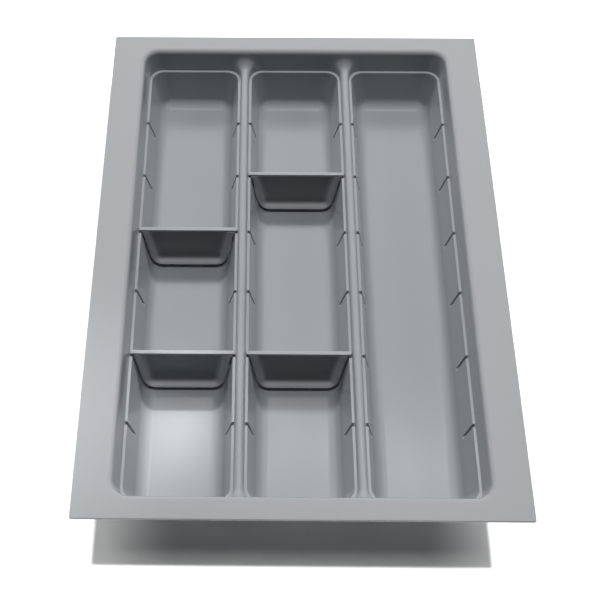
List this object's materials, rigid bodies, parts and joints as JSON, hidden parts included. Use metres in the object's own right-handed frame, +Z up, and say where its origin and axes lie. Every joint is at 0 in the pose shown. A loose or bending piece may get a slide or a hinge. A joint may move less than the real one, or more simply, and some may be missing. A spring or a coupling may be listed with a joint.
{
  "type": "cutlery tray",
  "caption": "Moulded plastic drawer insert for cutlery: a wide trimmable flange around long drafted lanes with notched walls and lift-out cross dividers.",
  "frame": {"origin": "middle of the underside, on the surface the tray stands on", "axes": "+X across the lanes to the right, +Y along the lanes to the back, +Z up"},
  "size_m": [0.34, 0.49, 0.06],
  "materials": {
    "tray_plastic": "satin",
    "divider_plastic": "satin"
  },
  "bodies": {
    "tray_body": {"tray": "tray_plastic"},
    "divider_left_rear_body": {"divider_left_rear": "divider_plastic"},
    "divider_left_front_body": {"divider_left_front": "divider_plastic"},
    "divider_middle_rear_body": {"divider_middle_rear": "divider_plastic"},
    "divider_middle_front_body": {"divider_middle_front": "divider_plastic"}
  },
  "joints": [
    {"name": "lift_left_rear", "type": "slide", "parent": "tray_body", "child": "divider_left_rear_body", "axis": [0, 0, 1], "range_m": [0, 0.065]},
    {"name": "lift_left_front", "type": "slide", "parent": "tray_body", "child": "divider_left_front_body", "axis": [0, 0, 1], "range_m": [0, 0.065]},
    {"name": "lift_middle_rear", "type": "slide", "parent": "tray_body", "child": "divider_middle_rear_body", "axis": [0, 0, 1], "range_m": [0, 0.065]},
    {"name": "lift_middle_front", "type": "slide", "parent": "tray_body", "child": "divider_middle_front_body", "axis": [0, 0, 1], "range_m": [0, 0.065]}
  ]
}
